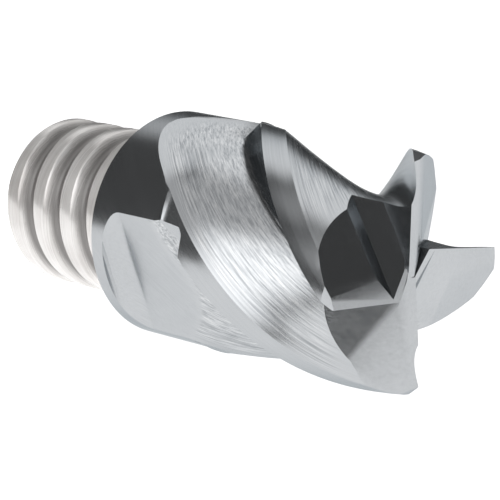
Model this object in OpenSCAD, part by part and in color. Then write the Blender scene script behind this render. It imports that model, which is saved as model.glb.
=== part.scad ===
// Exchangeable milling head: four helical teeth, two spanner flats and a threaded fixing stud.
// The tool axis lies along +X with the teeth at the +X end; the seat face is the plane x = 0.

/* [Cutting head] */
// Cutting diameter over the peripheral edges
cut_d = 20; // [16:0.5:25]
// Length of the head from the seat face to the end teeth
head_len = 29.3; // [26:0.1:36]
// Diameter of the plain body behind the teeth
body_d = 19.7; // [15.8:0.1:24.6]
// Core diameter at the bottom of the flutes, at the end teeth
core_d = 11; // [9:0.1:13]
// Helix angle of the peripheral edges
helix = 43; // [30:1:45]
// Clock angle of the first tooth, measured from +Y
first_tooth = 92.5; // [0:0.5:360]
// Angle from the first tooth to the second
index_a = 95; // [85:0.5:95]
// Angle from the second tooth to the third
index_b = 86; // [85:0.5:95]
// Angle from the third tooth to the fourth
index_c = 91.5; // [85:0.5:95]
// Corner chamfer of each tooth
corner = 0.7; // [0.3:0.05:1.2]
// Chamfer of the seat face rim
rim_chamfer = 0.25; // [0.1:0.05:0.5]

/* [Flutes and lands] */
// Distance from the seat face to the end of the flute run-out
runout_x = 2.3; // [1.5:0.1:4]
// Distance from the seat face where the flutes reach full width
full_w_x = 8.7; // [8:0.1:10]
// Power of the curve by which the flutes deepen towards the end teeth
core_curve = 1.75; // [1.4:0.05:2.2]
// Angle taken up by one land
land_a = 16; // [13:0.5:18]
// Angle taken up by the narrow primary land
primary_a = 3.8; // [2.5:0.1:6]
// Radial drop at the back of the primary land
primary_drop = 0.07; // [0.04:0.01:0.12]
// Radial drop at the heel of the land
heel_drop = 0.42; // [0.3:0.02:0.6]

/* [End teeth] */
// Dish angle of the end edges
dish_a = 2.7; // [1:0.1:4]
// Relief angle of the primary end land
end_relief_1 = 7; // [4:0.5:10]
// Relief angle of the secondary end land
end_relief_2 = 20; // [15:0.5:25]
// Slope of the clearance behind the secondary end land
end_relief_3 = 30; // [26:0.5:34]
// Width of the primary end land
end_land_1 = 0.9; // [0.6:0.05:1.2]
// Width of the secondary end land
end_land_2 = 0.9; // [0.6:0.05:1.2]
// Offset of the two long end edges ahead of the axis
long_ahead = 0.37; // [0.2:0.01:0.5]
// Angle of the two short end edges ahead of the radius
short_lead = 10; // [6:0.5:12]
// Slope of the gash bottom in front of a short edge
short_slope = 36.7; // [30:0.1:42]
// Rise of that gash floor away from the edge
short_tilt = 12; // [8:0.5:16]
// Slope of the gash bottom in front of a long edge
gash_slope = 31; // [25:1:38]
// Fall of the gash floor away from the edge
gash_fall = 27; // [15:1:32]
// Width of the gash floor
gash_w = 2; // [1.6:0.1:2.6]
// Rise of the far flank of the gash
gash_flank = 26; // [20:1:34]

/* [Spanner flats] */
// Distance over the two spanner flats
spanner = 16; // [12.5:0.5:20]
// Clock angle of the middle of the first flat
flat_angle = 199.6; // [180:0.5:215]
// Distance from the seat face to the flat
flat_x0 = 1.6; // [1:0.1:3]
// Distance from the seat face to the far wall of the flat
flat_x1 = 11.6; // [9:0.1:13]
// Radius of the blend at the seat end of the flat
flat_r = 1.9; // [1:0.1:2.5]
// Radius of the blend at the far wall of the flat
flat_r2 = 0.6; // [0.4:0.1:1.2]

/* [Threaded stud] */
// Diameter over the thread crests
stud_d = 14.8; // [11.5:0.1:18.5]
// Length of the stud behind the seat face
stud_len = 15.2; // [13:0.1:18]
// Pitch of the thread
pitch = 3.7; // [3:0.1:4.5]
// Depth of the rounded groove
groove_h = 0.75; // [0.5:0.05:1]
// Width of the rounded groove at the crests
groove_w = 1.6; // [1.2:0.1:2]
// Chamfer at the free end of the stud
stud_chamfer = 0.5; // [0.3:0.1:1]
// Diameter of the centre hole in the free end
centre_d = 4; // [3:0.1:5]
// Length of the plain neck between the thread and the seat face
neck_len = 1.6; // [1:0.1:2.5]
// Clock angle at which the thread starts
thread_turn = 60; // [0:5:355]
// Radial step from the thread crests down to the neck
neck_step = 0.35; // [0.2:0.05:0.6]

/* [Brazed joint] */
// Diameter of the spigot in the head
spigot_d = 7; // [5:0.1:8.5]
// Length of the spigot in the head
spigot_len = 8; // [6:0.1:10]
// Chamfer at the end of the spigot
spigot_chamfer = 0.3; // [0.2:0.05:0.6]
// Thickness of the braze film
braze_t = 0.1; // [0.06:0.01:0.2]
// Depth of the recess in the seat face that takes the neck of the stud
seat_recess = 0.3; // [0.2:0.05:0.6]
// Radial gap between the thread crests and the wall of that recess
recess_gap = 0.1; // [0.05:0.05:0.3]

/* [Hidden] */
$fn = 96;

cut_r = cut_d / 2;
body_r = body_d / 2;
core_r = core_d / 2;
twist_mm = 360 * tan(helix) / (PI * cut_d);
gaps = [index_a, index_b, index_c, 360 - index_a - index_b - index_c];
tooth = [first_tooth, first_tooth + index_a, first_tooth + index_a + index_b,
         first_tooth + index_a + index_b + index_c];
out_r = cut_r + 0.12;
clear_r = cut_r * 1.13;
neck_r = stud_d / 2 - neck_step;

// Flute outline between two teeth: share of the gap, share of the cutting radius above the core
flute_tail = [[0.270, 0.035], [0.370, 0.115], [0.470, 0.225], [0.570, 0.360], [0.660, 0.510],
              [0.745, 0.690]];
long_pts = concat([[0.000, 1.000], [-0.015, 0.680], [-0.022, 0.360], [0.010, 0.130], [0.080, 0.015],
                   [0.170, 0.000]], flute_tail);
short_pts = concat([[0.000, 1.000], [0.045, 0.680], [0.090, 0.360], [0.134, 0.130], [0.172, 0.030],
                    [0.212, 0.004]], flute_tail);
function is_long(i) = i % 2 == 0;
function flute_radius(h) = core_r + (cut_r - core_r) * h;
function depth_at(x) = 1 - pow(max(0, head_len - x) / (head_len - runout_x), core_curve);
function width_at(x) = x >= full_w_x ? 1 : sqrt(max(0, (x - runout_x) / (full_w_x - runout_x)));
function edge_turn(x) = -(head_len - x) * twist_mm;
// The middle of the flute opening turns more slowly in the run-out
function middle_turn(x) = x >= full_w_x ? edge_turn(x)
    : edge_turn(full_w_x) - (full_w_x - x) * 1.4;
// Share by which the section has turned into the plain scoop of the wheel
function scoop_at(x) = min(1, max(0, (full_w_x + 0.6 - x) / 2.4));
function on_x(x, r, a) = [x, r * cos(a), r * sin(a)];
// One cross-section at x of the cutter for gap i: the flute and the relieved land of the next tooth
function flute_ring(x, i) = let (
    g = gaps[i],
    pts = is_long(i) ? long_pts : short_pts,
    open = g - land_a,
    w = width_at(x), d = depth_at(x), m = scoop_at(x),
    mid = tooth[i] + middle_turn(x) + open / 2,
    start = mid - open / 2 * w + 0.6,
    heel = mid + open / 2 * w,
    heel_r = cut_r - heel_drop,
    up = 0.15 * max(0, min(1, (full_w_x + 0.6 - x) / 0.6)) + (x < full_w_x ? 0.3 : 0),
    back = heel + land_a + 3)
    concat(
        [on_x(x, clear_r, start)],
        [for (p = pts) let (
            u = min(1, max(0, p[0] * g / open)),
            deep = (1 - m) * (body_r - flute_radius(p[1]))
                + m * ((body_r - core_r) * (1 - pow(abs(2 * u - 1), 2.2)) - 0.12))
            on_x(x, body_r - deep * (deep > 0 ? d : 1), mid + (p[0] * g - open / 2) * w)],
        [on_x(x, body_r - (body_r - heel_r) * d * (1 - m) + 0.12 * m, heel)],
        [on_x(x, cut_r - primary_drop + up, heel + land_a - primary_a)],
        [on_x(x, cut_r + up, heel + land_a)],
        [on_x(x, cut_r + 0.06 + up, back)],
        [for (k = [4:-1:1]) on_x(x, clear_r, start + (back - start) * k / 4)]
    );
flute_x = concat([for (k = [0:12]) runout_x + 0.02 + (full_w_x - runout_x - 0.02) * pow(k / 12, 1.6)],
    [full_w_x + 0.3, full_w_x + 0.6],
    [for (k = [1:28]) full_w_x + 0.6 + (head_len + 0.4 - full_w_x) * k / 28]);

// Solid between a list of rings with the same number of points
module ring_solid(rings) {
    n = len(rings[0]);
    m = len(rings);
    polyhedron(
        points = [for (r = rings) for (p = r) p],
        faces = concat(
            [[for (k = [n - 1:-1:0]) k]],
            [for (j = [0:m - 2]) for (k = [0:n - 1]) [j * n + k, j * n + (k + 1) % n, (j + 1) * n + k]],
            [for (j = [0:m - 2]) for (k = [0:n - 1])
                [j * n + (k + 1) % n, (j + 1) * n + (k + 1) % n, (j + 1) * n + k]],
            [[for (k = [0:n - 1]) (m - 1) * n + k]]
        )
    );
}

module flute_cutter(i) {
    ring_solid([for (x = flute_x) flute_ring(x, i)]);
}

// Everything below is set out for a tooth that stands along +Z and cuts towards -Y
module at_tooth(i) {
    rotate([tooth[i] - 90 - asin(long_ahead / cut_r), 0, 0]) children();
}
edge_in_z = 1.8;
// Inner end of the end edge in the tooth frame, as [y, z]
function edge_in(i) = is_long(i) ? [-long_ahead, 0]
    : [-long_ahead - (cut_r - edge_in_z) * tan(short_lead), edge_in_z];

// Places a profile drawn as [distance behind the tooth line, height along the axis]
module along_tooth(from, to) {
    translate([head_len, -long_ahead, cut_r])
        rotate([0, dish_a, 0])
            multmatrix([[0, 1, 0, 0], [1, 0, 0, 0], [0, 0, 1, 0], [0, 0, 0, 1]])
                translate([0, 0, from]) linear_extrude(to - from) children();
}
module relief_profile() {
    a = end_land_1;
    b = end_land_1 + end_land_2;
    ha = a * tan(end_relief_1);
    hb = ha + end_land_2 * tan(end_relief_2);
    polygon([[-4, 4], [-4, 4 * tan(end_relief_1)], [a, -ha], [b, -hb],
             [b + 14, -hb - 14 * tan(end_relief_3)], [b + 14, 4]]);
}
// Region of the end face that belongs to tooth i; it reaches a little way in front of its edge
module sector(i) {
    far = cut_r * 1.6;
    g = gaps[(i + 3) % 4];
    j = (i + 3) % 4;
    over = 0.04;
    function out(k) = [-long_ahead + (is_long(k) ? 0 : (far - cut_r) * tan(short_lead)), far];
    // a point in the frame of the tooth behind, turned into this frame
    function turned(p) = [p[0] * cos(g) + p[1] * sin(g), -p[0] * sin(g) + p[1] * cos(g)];
    ahead = [-over, 0];
    pts = is_long(i)
        ? [out(i) + ahead, [-long_ahead - over, -0.25], [long_ahead + 0.02, -0.25], turned(edge_in(j)),
           turned(out(j)), [far, far]]
        : [out(i) + ahead, edge_in(i) + ahead, turned([-long_ahead - 0.02, 0.03]),
           turned(out(j) - [0.02, 0]), [far, far * 0.2], [far, far]];
    translate([head_len - 16, 0, 0])
        multmatrix([[0, 0, 1, 0], [1, 0, 0, 0], [0, 1, 0, 0], [0, 0, 0, 1]])
            linear_extrude(20) polygon(pts);
}
// Space above the floor of the gash in front of a short end edge, in the frame of that tooth
module above_floor() {
    s = cut_r / 10;
    p = [head_len - 2.6 * s, -6.15 * s, 5.33 * s];
    n0 = [cos(short_slope), tan(short_tilt), sin(short_slope)];
    n = n0 / norm(n0);
    a0 = [-n[2], 0, n[0]];
    a = a0 / norm(a0);
    b = cross(n, a);
    multmatrix([[a[0], b[0], n[0], p[0]], [a[1], b[1], n[1], p[1]], [a[2], b[2], n[2], p[2]],
                [0, 0, 0, 1]])
        translate([-30, -30, 0]) cube([60, 60, 30]);
}
module end_relief(i) {
    intersection() {
        at_tooth(i) sector(i);
        union() {
            at_tooth(i) along_tooth(-cut_r - 3, 4) relief_profile();
            if (is_long(i)) at_tooth((i + 3) % 4) above_floor();
        }
    }
}
// Gash in front of a long end edge: rake plane, falling floor and rising far flank
module long_gash(i) {
    start = cut_r - 0.8;
    far = 9;
    low = gash_w * tan(gash_fall);
    at_tooth(i) translate([head_len - start * tan(dish_a) - 0.05, -long_ahead, cut_r - start])
        rotate([0, -gash_slope, 0])
            multmatrix([[0, 1, 0, 0], [-1, 0, 0, 0], [0, 0, 1, 0], [0, 0, 0, 1]])
                translate([0, 0, -6]) linear_extrude(26)
                    polygon([[0, 0], [gash_w, -low], [gash_w + far, far * tan(gash_flank) - low],
                             [gash_w + far, 12], [0, 12]]);
}
// Corner chamfer: a cone over all teeth
module corner_cut() {
    rotate([0, 90, 0]) rotate_extrude($fn = 144)
        polygon([[cut_r - corner, head_len + 0.02], [cut_r + 1, head_len + 0.02],
                 [cut_r + 1, head_len - corner - 1]]);
}

module spanner_flat(a) {
    h = spanner / 2;
    rotate([a - 90, 0, 0])
        translate([0, 0, h])
            rotate([90, 0, 0]) translate([0, 0, -cut_r]) linear_extrude(2 * cut_r)
                difference() {
                    translate([flat_x0, 0]) square([flat_x1 - flat_x0, 6]);
                    difference() {
                        translate([flat_x0 - 1, -1]) square([flat_r + 1, flat_r + 1]);
                        translate([flat_x0 + flat_r, flat_r]) circle(flat_r);
                    }
                    difference() {
                        translate([flat_x1 - flat_r2, -1]) square([flat_r2 + 1, flat_r2 + 1]);
                        translate([flat_x1 - flat_r2, flat_r2]) circle(flat_r2);
                    }
                }
}

// Blank with flutes, lands, end teeth and corners, ground to the cutting diameter
module fluted_blank() {
    resize([head_len, cut_d, cut_d]) difference() {
        rotate([0, 90, 0]) rotate_extrude($fn = 144)
            polygon([[0, 0], [body_r - rim_chamfer, 0], [body_r, rim_chamfer],
                     [body_r, full_w_x - 0.04], [out_r, full_w_x + 0.57], [out_r, head_len],
                     [0, head_len]]);
        for (i = [0:3]) flute_cutter(i);
        for (i = [0:3]) end_relief(i);
        for (i = [0, 2]) long_gash(i);
        corner_cut();
    }
}
module cutting_head() {
    color([0.62, 0.65, 0.67]) difference() {
        fluted_blank();
        translate([-1, 0, 0]) rotate([0, 90, 0])
            cylinder(r = spigot_d / 2 + braze_t, h = spigot_len + braze_t + 1);
        translate([-1, 0, 0]) rotate([0, 90, 0])
            cylinder(r = stud_d / 2 + recess_gap, h = seat_recess + 1);
        spanner_flat(flat_angle);
        spanner_flat(flat_angle + 180);
    }
}

// Rounded groove of the right-hand thread
groove_pts = [for (k = [0:6]) let (a = k * 30) [cos(a) * groove_w / 2, -sin(a) * groove_h]];
thread_x0 = -stud_len - pitch * 0.45;
thread_x1 = -neck_len - groove_w * 0.35;
function groove_ring(a) = let (
    x = thread_x0 + pitch * a / 360,
    left = (thread_x1 - x) / (pitch * 0.12),
    lift = left > 1 ? 0 : (groove_h + 0.15) * pow(1 - max(0, left), 2))
    concat([for (p = groove_pts) on_x(x + p[0], stud_d / 2 + p[1] + lift, a + thread_turn)],
        [on_x(x - groove_w * 0.56, stud_d / 2 + 0.9, a + thread_turn),
         on_x(x + groove_w * 0.56, stud_d / 2 + 0.9, a + thread_turn)]);
thread_end = 360 * (thread_x1 - thread_x0) / pitch;
module thread_groove() {
    ring_solid([for (k = [0:96]) groove_ring(thread_end * k / 96)]);
}

// Thread, neck and shoulder of the stud, to its overall size
module stud_body() {
    r = stud_d / 2;
    top = seat_recess - braze_t;
    resize([stud_len + top, stud_d, stud_d]) difference() {
        rotate([0, 90, 0]) rotate_extrude($fn = 144)
            polygon([[0, -stud_len], [r - stud_chamfer, -stud_len], [r, -stud_len + stud_chamfer],
                     [r, -neck_len - 0.5], [neck_r, -neck_len], [neck_r, top], [0, top]]);
        thread_groove();
        translate([-stud_len, 0, 0]) rotate([0, 90, 0]) rotate_extrude($fn = 72)
            polygon([[0, -1], [centre_d / 2 + tan(30), -1], [0, centre_d / 2 / tan(30)]]);
    }
}
module threaded_stud() {
    s = spigot_d / 2;
    c = spigot_chamfer;
    color([0.82, 0.80, 0.77]) union() {
        stud_body();
        rotate([0, 90, 0]) rotate_extrude()
            polygon([[0, -neck_len], [s, -neck_len], [s, spigot_len - c], [s - c, spigot_len],
                     [0, spigot_len]]);
    }
}

module braze_film() {
    s = spigot_d / 2;
    c = spigot_chamfer;
    flange_r = neck_r - 0.15;
    color([0.85, 0.75, 0.45]) rotate([0, 90, 0]) rotate_extrude($fn = 144)
        polygon([[s, seat_recess - braze_t], [flange_r, seat_recess - braze_t],
                 [flange_r, seat_recess], [s + braze_t, seat_recess],
                 [s + braze_t, spigot_len + braze_t], [0, spigot_len + braze_t],
                 [0, spigot_len], [s - c, spigot_len], [s, spigot_len - c]]);
}

cutting_head();
braze_film();
threaded_stud();
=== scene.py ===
import bpy
from math import cos, sin, tan, pi, radians, degrees, asin, sqrt
from mathutils import Matrix, Vector


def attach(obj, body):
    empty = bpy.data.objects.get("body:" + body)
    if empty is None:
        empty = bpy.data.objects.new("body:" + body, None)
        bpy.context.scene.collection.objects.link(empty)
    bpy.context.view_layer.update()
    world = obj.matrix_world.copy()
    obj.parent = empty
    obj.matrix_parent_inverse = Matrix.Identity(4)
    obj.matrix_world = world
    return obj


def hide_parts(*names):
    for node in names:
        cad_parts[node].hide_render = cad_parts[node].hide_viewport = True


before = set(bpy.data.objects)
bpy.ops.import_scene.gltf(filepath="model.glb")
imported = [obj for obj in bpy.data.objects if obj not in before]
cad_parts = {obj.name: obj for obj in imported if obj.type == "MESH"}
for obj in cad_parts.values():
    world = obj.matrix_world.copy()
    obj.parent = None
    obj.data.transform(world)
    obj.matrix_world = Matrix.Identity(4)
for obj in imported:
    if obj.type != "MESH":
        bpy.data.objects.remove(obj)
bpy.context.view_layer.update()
scene = bpy.context.scene

# ---------------------------------------------------------------------------
# Cutting head: tungsten carbide, ground all over and given a hard grey coating.
# Four helical flutes, relieved lands, end teeth and two spanner flats are ground
# into one blank, which is brazed to the steel stud.
# ---------------------------------------------------------------------------
MM = 0.001
cut_r = 10.0
head_len = 29.3
body_r = 9.85
core_r = 5.5
out_r = cut_r + 0.12
clear_r = cut_r * 1.13
# where the flutes run out, and where they reach full width
runout_x, full_w_x = 2.3, 8.7
twist = 360 * tan(radians(43)) / (pi * 2 * cut_r)
# angles taken up by a whole land and by the narrow part at its edge
land_a, primary_a = 16.0, 3.8
primary_drop, heel_drop = 0.07, 0.42
# clock angles of the four teeth, and the unequal angles between them
teeth = (92.5, 187.5, 273.5, 365.0)
gaps = (95.0, 86.0, 91.5, 87.5)
long_ahead, short_lead, dish = 0.37, 10.0, 2.7


def sin_d(a):
    return sin(radians(a))


def cos_d(a):
    return cos(radians(a))


def tan_d(a):
    return tan(radians(a))


def only(*objects):
    """Leaves just these objects selected, the first of them active."""
    bpy.ops.object.select_all(action="DESELECT")
    for o in objects:
        o.select_set(True)
    bpy.context.view_layer.objects.active = objects[0]


def lofted(name, rings):
    """A closed solid through rings of points (mm), from a grid primitive that is shaped and closed."""
    n, m = len(rings[0]), len(rings)
    bpy.ops.object.select_all(action="DESELECT")
    bpy.ops.mesh.primitive_grid_add(x_subdivisions=n, y_subdivisions=m - 1, size=2)
    o = bpy.context.object
    o.name = name
    for v in o.data.vertices:
        k, j = v.index % (n + 1), v.index // (n + 1)
        v.co = Vector(rings[j][k % n]) * MM
    bpy.ops.object.mode_set(mode="EDIT")
    bpy.ops.mesh.select_all(action="SELECT")
    bpy.ops.mesh.remove_doubles(threshold=1e-8)
    bpy.ops.mesh.select_all(action="DESELECT")
    bpy.ops.mesh.select_non_manifold()
    bpy.ops.mesh.fill_holes(sides=0)
    bpy.ops.mesh.select_all(action="SELECT")
    bpy.ops.mesh.normals_make_consistent(inside=False)
    bpy.ops.object.mode_set(mode="OBJECT")
    return o


def turned(name, outline, steps=256):
    """A solid turned about the tool axis from an outline of (x, r) points in mm, the ends on the axis."""
    rings = [[(x, r * cos(2 * pi * k / steps), r * sin(2 * pi * k / steps)) for k in range(steps)]
             for x, r in outline]
    return lofted(name, rings)


def cut(body, tool, how="DIFFERENCE"):
    """Cuts the tool out of the body and throws the tool away."""
    only(body)
    b = body.modifiers.new("cut", "BOOLEAN")
    b.operation, b.solver, b.object = how, "EXACT", tool
    bpy.ops.object.modifier_apply(modifier=b.name)
    bpy.data.objects.remove(tool)


def prism(near, far):
    """A solid between two outlines of points in mm, from a cylinder primitive with as many sides."""
    bpy.ops.object.select_all(action="DESELECT")
    bpy.ops.mesh.primitive_cylinder_add(vertices=len(near), radius=1, depth=2, end_fill_type="NGON")
    o = bpy.context.object
    ends = [[v for v in o.data.vertices if v.co.z < 0], [v for v in o.data.vertices if v.co.z > 0]]
    for end, outline in zip(ends, (near, far)):
        for v, p in zip(end, outline):
            v.co = Vector(p) * MM
    bpy.ops.object.mode_set(mode="EDIT")
    bpy.ops.mesh.select_all(action="SELECT")
    bpy.ops.mesh.normals_make_consistent(inside=False)
    bpy.ops.object.mode_set(mode="OBJECT")
    return o


def wedge(side, near, far, place):
    """A prism whose side view is given as (distance behind the tooth, height along the axis)."""
    return prism(*([place @ Vector((h, b, z)) for b, h in side] for z in (near, far)))


def smooth_through(points, per):
    """Points on a smooth curve through the given points, per of them for each span."""
    out = []
    for i in range(len(points) - 1):
        p0 = points[max(i - 1, 0)]
        p1, p2 = points[i], points[i + 1]
        p3 = points[min(i + 2, len(points) - 1)]
        for s in range(per):
            t = s / per
            out.append(tuple(
                0.5 * (2 * b + (c - a) * t + (2 * a - 5 * b + 4 * c - d) * t * t
                       + (3 * b - a - 3 * c + d) * t ** 3)
                for a, b, c, d in zip(p0, p1, p2, p3)))
    out.append(tuple(points[-1]))
    return out


def at_axis(x, r, a):
    return (x, r * cos_d(a), r * sin_d(a))


flute_tail = [(0.27, 0.035), (0.37, 0.115), (0.47, 0.225), (0.57, 0.36), (0.66, 0.51), (0.745, 0.69)]
flute_side = {
    True: [(0, 1), (-0.015, 0.68), (-0.022, 0.36), (0.01, 0.13), (0.08, 0.015), (0.17, 0)] + flute_tail,
    False: [(0, 1), (0.045, 0.68), (0.09, 0.36), (0.134, 0.13), (0.172, 0.03), (0.212, 0.004)] + flute_tail,
}
fine = 3


def flute_ring(x, i):
    """One section of the wheel's path in gap i: the flute and the relieved land of the next tooth."""
    g = gaps[i]
    opening = g - land_a
    w = 1 if x >= full_w_x else sqrt(max(0, (x - runout_x) / (full_w_x - runout_x)))
    d = 1 - (max(0, head_len - x) / (head_len - runout_x)) ** 1.75
    m = min(1, max(0, (full_w_x + 0.6 - x) / 2.4))
    turn = -(head_len - x) * twist if x >= full_w_x else \
        -(head_len - full_w_x) * twist - (full_w_x - x) * 1.4
    mid = teeth[i] + turn + opening / 2
    heel = mid + opening / 2 * w
    up = 0.15 * max(0, min(1, (full_w_x + 0.6 - x) / 0.6)) + (0.3 if x < full_w_x else 0)
    back = heel + land_a + 3
    start = mid - opening / 2 * w + 0.6
    heel_h = (cut_r - heel_drop - core_r) / (cut_r - core_r)
    side = flute_side[i % 2 == 0]
    side = side[:1] + smooth_through(side[1:] + [(opening / g, heel_h)], fine)
    ring = [at_axis(x, clear_r, start)]
    for u, h in side:
        v = min(1, max(0, u * g / opening))
        deep = (1 - m) * (body_r - core_r - (cut_r - core_r) * h) \
            + m * ((body_r - core_r) * (1 - abs(2 * v - 1) ** 2.2) - 0.12)
        ring.append(at_axis(x, body_r - deep * (d if deep > 0 else 1), mid + (u * g - opening / 2) * w))
    heel_r, last_r = cut_r - primary_drop + up, body_r - deep * (d if deep > 0 else 1)
    for k in range(1, 4):
        t = k / 3
        ring.append(at_axis(x, last_r * (1 - t) + heel_r * t, heel + (land_a - primary_a) * t))
    ring.append(at_axis(x, cut_r + up, heel + land_a))
    ring.append(at_axis(x, cut_r + 0.06 + up, back))
    for k in (4, 3, 2, 1):
        ring.append(at_axis(x, clear_r, start + (back - start) * k / 4))
    return ring


head = turned("cutting_head_ground", [
    (0, 0.02), (0, body_r - 0.25), (0.25, body_r), (full_w_x - 0.04, body_r),
    (full_w_x + 0.57, out_r), (head_len, out_r), (head_len, 0.02)])
steps_a, steps_b = 22, 60
first_x, step_up = runout_x + 0.02, 0.6
stations = [first_x + (full_w_x - first_x) * (k / steps_a) ** 1.6 for k in range(steps_a + 1)]
stations += [full_w_x + step_up * k / 4 for k in range(1, 5)]
stations += [full_w_x + step_up + (head_len - full_w_x) * k / steps_b for k in range(1, steps_b + 1)]
for i in range(4):
    cut(head, lofted("flute_wheel", [flute_ring(x, i) for x in stations]))

# End teeth: each is relieved in three steps behind its edge, and gashed in front of it.
primary_w, secondary_w = 0.9, 0.9
relief_a = (7, 20, 30)
inner_z = 1.8
floor_slope, floor_tilt = 36.7, 12
gash_slope, gash_fall, gash_flank, gash_w, flank_w = 31, 27, 26, 2, 9


def tooth_turn(i):
    return Matrix.Rotation(radians(teeth[i] - 90 - degrees(asin(long_ahead / cut_r))), 4, "X")


def edge_out(i, far):
    return (-long_ahead + (0 if i % 2 == 0 else (far - cut_r) * tan_d(short_lead)), far)


def edge_in(i):
    if i % 2 == 0:
        return (-long_ahead, 0)
    return (-long_ahead - (cut_r - inner_z) * tan_d(short_lead), inner_z)


def sector(i):
    """Upright prism over the part of the end face that belongs to tooth i."""
    far = cut_r * 1.6
    g, j = gaps[(i + 3) % 4], (i + 3) % 4

    def behind(p, dy=0):
        y, z = p[0] + dy, p[1]
        return (y * cos_d(g) + z * sin_d(g), -y * sin_d(g) + z * cos_d(g))
    out, inn = edge_out(i, far), edge_in(i)
    if i % 2 == 0:
        pts = [(out[0] - 0.04, out[1]), (-long_ahead - 0.04, -0.25), (long_ahead + 0.02, -0.25),
               behind(edge_in(j)), behind(edge_out(j, far)), (far, far)]
    else:
        pts = [(out[0] - 0.04, out[1]), (inn[0] - 0.04, inn[1]), behind((-long_ahead - 0.02, 0.03)),
               behind(edge_out(j, far), -0.02), (far, far * 0.2), (far, far)]
    return prism(*([tooth_turn(i) @ Vector((x, y, z)) for y, z in pts]
                   for x in (head_len - 16, head_len + 4)))


def along(i):
    return tooth_turn(i) @ Matrix.Translation((head_len, -long_ahead, cut_r)) \
        @ Matrix.Rotation(radians(dish), 4, "Y")


fall_1 = primary_w * tan_d(relief_a[0])
fall_2 = fall_1 + secondary_w * tan_d(relief_a[1])
both_w = primary_w + secondary_w
relief_side = [(-4, 4), (-4, 4 * tan_d(relief_a[0])), (primary_w, -fall_1), (both_w, -fall_2),
               (both_w + 14, -fall_2 - 14 * tan_d(relief_a[2])), (both_w + 14, 4)]
for i in range(4):
    space = sector(i)
    cut(space, wedge(relief_side, -cut_r - 3, 4, along(i)), "INTERSECT")
    cut(head, space)
    if i % 2 == 0:
        # the short tooth behind has its gash floor in this sector
        j = (i + 3) % 4
        n = Vector((cos_d(floor_slope), tan_d(floor_tilt), sin_d(floor_slope))).normalized()
        a = Vector((-n.z, 0, n.x)).normalized()
        b = n.cross(a)
        place = Matrix(((a.x, b.x, n.x, head_len - 2.6), (a.y, b.y, n.y, -6.15),
                        (a.z, b.z, n.z, 5.33), (0, 0, 0, 1)))
        space = sector(i)
        block = [(-30, -30), (30, -30), (30, 30), (-30, 30)]
        swap = Matrix(((0, 1, 0, 0), (1, 0, 0, 0), (0, 0, 1, 0), (0, 0, 0, 1)))
        cut(space, wedge(block, 0, 30, tooth_turn(j) @ place @ swap), "INTERSECT")
        cut(head, space)
for i in (0, 2):
    # the gash floor is set out from a point 0.8 mm in from the end of the edge
    start, fall = cut_r - 0.8, gash_w * tan_d(gash_fall)
    place = tooth_turn(i) @ Matrix.Translation(
        (head_len - start * tan_d(dish) - 0.05, -long_ahead, cut_r - start)) \
        @ Matrix.Rotation(radians(-gash_slope), 4, "Y")
    gash = [(0, 0), (-gash_w, -fall), (-gash_w - flank_w, flank_w * tan_d(gash_flank) - fall),
            (-gash_w - flank_w, 12), (0, 12)]
    cut(head, wedge(gash, -6, 20, place))


def collar(name, outline, steps=256):
    """A closed ring turned about the tool axis from a closed outline of (x, r) points in mm."""
    rings = [[(x, r * cos(2 * pi * k / steps), r * sin(2 * pi * k / steps)) for x, r in outline]
             for k in range(steps + 1)]
    return lofted(name, rings)


corner_cone = [(head_len - 1.7, cut_r + 1.0), (head_len + 0.3, cut_r - 1.0), (head_len + 0.3, cut_r + 1.0)]
cut(head, collar("corners", corner_cone))

# Two flats for an open-ended spanner, milled with a blend at each end.
flat_a, flat_h, flat_x0, flat_x1, blend_0, blend_1 = 19.6, 8.0, 1.6, 11.6, 1.9, 0.6
for a in (flat_a + 180, flat_a):
    turn_flat = Matrix.Rotation(radians(a - 90), 4, "X")
    side = [(flat_x0, 6.0)]
    side += [(flat_x0 + blend_0 - blend_0 * cos_d(t), blend_0 - blend_0 * sin_d(t))
             for t in range(0, 91, 10)]
    side += [(flat_x1 - blend_1 + blend_1 * sin_d(t), blend_1 - blend_1 * cos_d(t))
             for t in range(0, 91, 15)]
    side += [(flat_x1, 6.0)]
    rings = [[turn_flat @ Vector((x, y, flat_h + h)) for x, h in side] for y in (-12, 12)]
    cut(head, lofted("cutter", rings))
# The bore for the spigot, and a shallow recess that takes the neck of the stud.
spigot_r, spigot_len, braze_t = 3.5, 8.0, 0.1
recess_r, recess_x = 7.5, 0.3
bore_r, bore_x = spigot_r + braze_t, spigot_len + braze_t
cut(head, turned("socket", [(-1, 0.01), (-1, recess_r), (recess_x, recess_r), (recess_x, bore_r),
                            (bore_x, bore_r), (bore_x, 0.01)], 192))


def finish_edges(o, angle, width):
    """Merges stray points, then shades smooth with crisp edges; the normals follow the larger faces."""
    only(o)
    bpy.ops.object.mode_set(mode="EDIT")
    bpy.ops.mesh.select_all(action="SELECT")
    bpy.ops.mesh.remove_doubles(threshold=1e-6)
    bpy.ops.mesh.dissolve_degenerate(threshold=1e-7)
    bpy.ops.object.mode_set(mode="OBJECT")
    bpy.ops.object.shade_smooth_by_angle(angle=radians(angle))
    w = o.modifiers.new("normals", "WEIGHTED_NORMAL")
    w.keep_sharp, w.weight = True, width
    bpy.ops.object.modifier_apply(modifier=w.name)


finish_edges(head, 14, 50)


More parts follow.
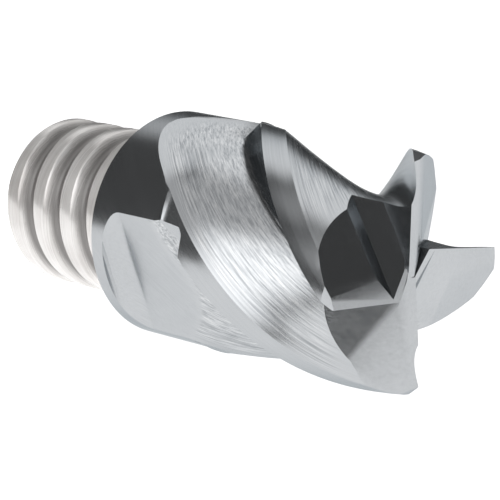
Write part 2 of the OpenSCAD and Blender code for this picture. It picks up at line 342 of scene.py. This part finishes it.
class Socket:
    """An output socket that takes part in sums, so a pattern reads as a formula."""

    def __init__(self, tree, out):
        self.tree, self.out = tree, out

    def node(self, kind, settings=None, values=None, out=0):
        n = self.tree.nodes.new(kind)
        for k, v in (settings or {}).items():
            if k == "stops":
                ramp = n.color_ramp
                while len(ramp.elements) < len(v):
                    ramp.elements.new(0.5)
                for e, (pos, colour) in zip(ramp.elements, v):
                    e.position, e.color = pos, (*colour, 1)
            else:
                setattr(n, k, v)
        for k, v in (values or {}).items():
            if isinstance(v, Socket):
                self.tree.links.new(v.out, n.inputs[k])
            else:
                n.inputs[k].default_value = v
        return Socket(self.tree, n.outputs[out])

    def math(self, op, a, b=0.0, clamp=False):
        return self.node("ShaderNodeMath", {"operation": op, "use_clamp": clamp}, {0: a, 1: b})

    def __add__(self, b):
        return self.math("ADD", self, b)

    __radd__ = __add__

    def __sub__(self, b):
        return self.math("SUBTRACT", self, b)

    def __rsub__(self, b):
        return self.math("SUBTRACT", b, self)

    def __mul__(self, b):
        return self.math("MULTIPLY", self, b)

    __rmul__ = __mul__

    def __pow__(self, b):
        return self.math("POWER", self, b)

    def clamped(self, gain=1.0):
        """The value times gain, held between 0 and 1."""
        return self.math("MULTIPLY", self, gain, True)

    def noise(self, scale, **values):
        """A noise pattern with this vector."""
        return self.node("ShaderNodeTexNoise", None, {"Vector": self, "Scale": scale, **values})


def material(name, **fixed):
    """A new material: its Principled node, its Object coordinates and a link function."""
    m = bpy.data.materials.new(name)
    m.use_nodes = True
    tree = m.node_tree
    shader = next(n for n in tree.nodes if n.type == "BSDF_PRINCIPLED")
    for k, v in fixed.items():
        shader.inputs[k.replace("_", " ")].default_value = v
    coords = Socket(tree, tree.nodes.new("ShaderNodeTexCoord").outputs["Object"])

    def link(socket, name):
        tree.links.new(socket.out, shader.inputs[name])
    return m, coords, link


def along_helix(coords):
    """Turns the section at x back by the helix, so a pattern in it runs along the flutes; in mm."""
    xyz = [coords.node("ShaderNodeSeparateXYZ", None, {0: coords}, k) * 1000 for k in range(3)]
    a = xyz[0] * radians(-twist)
    c, s = a.math("COSINE", a), a.math("SINE", a)
    return xyz, xyz[1] * c - xyz[2] * s, xyz[1] * s + xyz[2] * c


coated, co, link = material("hard_coated_carbide", Metallic=1.0, IOR=2.2,
                            Specular_Tint=(0.55, 0.58, 0.60, 1))
(x, y, z), hy, hz = along_helix(co)
radius = (y * y + z * z) ** 0.5
swept = co.node("ShaderNodeCombineXYZ", None, {0: x * 0.008, 1: hy, 2: hz})
fine_marks = swept.noise(9.0, Detail=5.0, Roughness=0.7)
wheel_marks = swept.noise(5.0, Detail=1.0, Roughness=0.4)
broad_marks = swept.noise(2.6, Detail=2.0, Roughness=0.5)
grain = co.noise(2600.0, Detail=3.0, Roughness=0.6)
cloud = co.noise(160.0, Detail=2.0)
# The marks are strong in the flutes and fade out at the end teeth, the run-out and the flats.
in_flute = (cut_r - 0.35 - radius).clamped(2.5)
off_end = (head_len - 3.4 - x).clamped(0.6)
off_back = (x - 3.0).clamped(0.5)
from_axis = y * cos_d(flat_a) + z * sin_d(flat_a)
across_flat = from_axis.math("ABSOLUTE", from_axis)
beyond_flat = (x - 11.0) * 2
off_flat = beyond_flat.math("MAXIMUM", beyond_flat, (7.9 - across_flat) * 8).clamped()
streak = in_flute * off_end * off_back * off_flat
marks = (fine_marks - 0.5) * 0.9 + (wheel_marks - 0.5) * 0.5
shade = marks * (streak + 0.12) + (cloud - 0.5) * 0.08 + 0.5
greys = [(0.32, (0.31, 0.325, 0.34)), (0.5, (0.485, 0.50, 0.515)), (0.70, (0.64, 0.65, 0.66))]
link(co.node("ShaderNodeValToRGB", {"stops": greys}, {0: shade}), "Base Color")
rough = 0.23 + (fine_marks - 0.5) * 0.22 * streak + (grain - 0.5) * 0.05 + (broad_marks - 0.5) * 0.10
link(rough, "Roughness")
height = (fine_marks * 1.2 + wheel_marks * 1.5 + broad_marks * 0.8) * streak + grain * 0.02
link(co.node("ShaderNodeBump", None, {"Strength": 0.32, "Distance": 0.00002, "Height": height}), "Normal")
head.data.materials.clear()
head.data.materials.append(coated)
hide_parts("cutting_head")
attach(head, "root")

# ---------------------------------------------------------------------------
# Braze film: a thin skin of brass-coloured braze that joins the stud to the head.
# It lies out of sight, under the neck and round the spigot.
# ---------------------------------------------------------------------------
braze, co, link = material("braze", Metallic=1.0, IOR=1.45)
ripple = co.noise(900.0, Detail=4.0)
brasses = [(0.35, (0.42, 0.33, 0.16)), (0.7, (0.70, 0.58, 0.32))]
link(co.node("ShaderNodeValToRGB", {"stops": brasses}, {0: ripple}), "Base Color")
link(0.30 + ripple * 0.25, "Roughness")
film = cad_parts["braze_film"]
film.data.materials.clear()
film.data.materials.append(braze)

# ---------------------------------------------------------------------------
# Threaded stud: turned from steel, bright, with a coarse rounded right-hand thread
# that runs out in the plain neck. Its spigot is brazed into the head.
# ---------------------------------------------------------------------------
stud_r, stud_len, pitch = 7.4, 15.2, 3.7
# depth of the groove, its width before and half its width after the crests are rounded
groove_h, groove_w, half_w = 0.75, 1.6, 1.25
neck, neck_r, chamfer, start_turn = 1.6, stud_r - 0.35, 0.5, 60
hole_r, hole_depth = 2.0, 3.3
neck_x = recess_x - braze_t
stud = turned("threaded_stud_turned", [
    (-stud_len + hole_depth, 0.01), (-stud_len + 0.05, hole_r - 0.1), (-stud_len, hole_r),
    (-stud_len, stud_r - chamfer), (-stud_len + chamfer, stud_r),
    (-neck - 0.5, stud_r), (-neck, neck_r), (neck_x, neck_r), (neck_x, spigot_r),
    (spigot_len - 0.3, spigot_r), (spigot_len, spigot_r - 0.3), (spigot_len, 0.01)])
first, last = -stud_len - pitch * 0.45, -neck - groove_w * 0.35
count = 520
rings = []
for k in range(count + 1):
    a = 360 * (last - first) / pitch * k / count
    xc = first + pitch * a / 360
    left = (last - xc) / (pitch * 0.12)
    lift = 0 if left > 1 else (groove_h + 0.15) * (1 - max(0, left)) ** 2
    ring = []
    for t in range(12, -13, -1):
        dip = (groove_h + 0.02) * (0.5 + 0.5 * cos(pi * t / 12)) ** 0.8
        ring.append(at_axis(xc + half_w * t / 12, stud_r + 0.02 - dip + lift, a + start_turn))
    ring += [at_axis(xc + side * half_w, stud_r + 0.9, a + start_turn) for side in (-1, 1)]
    rings.append(ring)
cut(stud, lofted("thread_tool", rings))
finish_edges(stud, 30, 50)

steel, co, link = material("turned_steel", Metallic=0.25, IOR=2.0)
xyz = [co.node("ShaderNodeSeparateXYZ", None, {0: co}, k) * 1000 for k in range(3)]
radius = (xyz[1] * xyz[1] + xyz[2] * xyz[2]) ** 0.5
feed = co.node("ShaderNodeCombineXYZ", None, {0: xyz[0] * 14, 1: xyz[1] * 0.05, 2: xyz[2] * 0.05})
turning = feed.noise(1.0, Detail=4.0, Roughness=0.6)
blotch = co.noise(220.0, Detail=3.0)
# Painted shade: deep in the thread grooves the base colour is mixed 85% towards near-black, standing in for
# the shade that falls there; the grooves are also rougher.
low = (stud_r - 0.2 - radius).clamped(2.6)
steels = [(0.38, (0.66, 0.63, 0.61)), (0.60, (0.97, 0.95, 0.93))]
base = co.node("ShaderNodeValToRGB", {"stops": steels}, {0: turning * 0.55 + blotch * 0.45})
painted_groove_shade = (0.12, 0.11, 0.105, 1)
link(co.node("ShaderNodeMix", {"data_type": "RGBA"}, {0: low * 0.85, 6: base, 7: painted_groove_shade}, 2),
     "Base Color")
link(0.20 + (turning - 0.5) * 0.15 + low * 0.18, "Roughness")
link(co.node("ShaderNodeBump", None, {"Strength": 0.25, "Distance": 0.00003, "Height": turning}), "Normal")
stud.data.materials.clear()
stud.data.materials.append(steel)
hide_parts("threaded_stud")
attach(stud, "root")

# ---------------------------------------------------------------------------
# Studio: a pale floor below, a dim room above with soft boxes, and a long lens.
# ---------------------------------------------------------------------------
bpy.ops.object.select_all(action="DESELECT")
bpy.ops.mesh.primitive_circle_add(vertices=64, radius=3.0, fill_type="NGON", location=(0, 0, -0.1))
floor = bpy.context.object
floor.name = "floor"
pale = material("pale_floor", Base_Color=(0.8, 0.8, 0.8, 1), Roughness=0.9,
                Emission_Color=(1, 1, 1, 1), Emission_Strength=0.80)
floor.data.materials.append(pale[0])

scene.view_settings.view_transform = "Standard"
world = bpy.data.worlds.new("room")
scene.world = world
world.use_nodes = True
tree = world.node_tree
sky = next(n for n in tree.nodes if n.type == "BACKGROUND")
way = Socket(tree, tree.nodes.new("ShaderNodeTexCoord").outputs["Generated"])
up = way.node("ShaderNodeSeparateXYZ", None, {0: way}, 2)
glow = up.node("ShaderNodeMapRange", {"interpolation_type": "SMOOTHSTEP"},
               {0: up, 1: -0.22, 2: 0.03, 3: 1.0, 4: 0.07})
# Soft boxes as bright patches of the room: direction, cosines where each starts and is full, brightness.
for aim, start, full, power in (
        ((-0.38, 0.52, 0.76), 0.82, 0.95, 1.10),
        ((-0.15, -0.30, 0.94), 0.86, 0.97, 0.55),
        ((0.04, -0.86, 0.50), 0.84, 0.98, 1.9)):
    facing = way.node("ShaderNodeVectorMath", {"operation": "DOT_PRODUCT"}, {0: way, 1: aim}, 1)
    glow = glow + facing.node("ShaderNodeMapRange", {"interpolation_type": "SMOOTHSTEP"},
                              {0: facing, 1: start, 2: full, 3: 0.0, 4: power})
tree.links.new(glow.out, sky.inputs["Color"])
sky.inputs["Strength"].default_value = 1.0

camera = bpy.data.cameras.new("camera")
camera.sensor_width, camera.lens = 36, 203.92
camera.clip_start, camera.clip_end = 0.01, 20
eye = bpy.data.objects.new("camera", camera)
look, right = Vector((-0.71989, 0.66080, -0.21240)), Vector((0.67690, 0.73606, -0.00429))
eye.matrix_world = Matrix.Translation((0.18374, -0.15989, 0.05041)) @ Matrix(
    (right, right.cross(look), -look)).transposed().to_4x4()
scene.collection.objects.link(eye)
scene.camera = eye
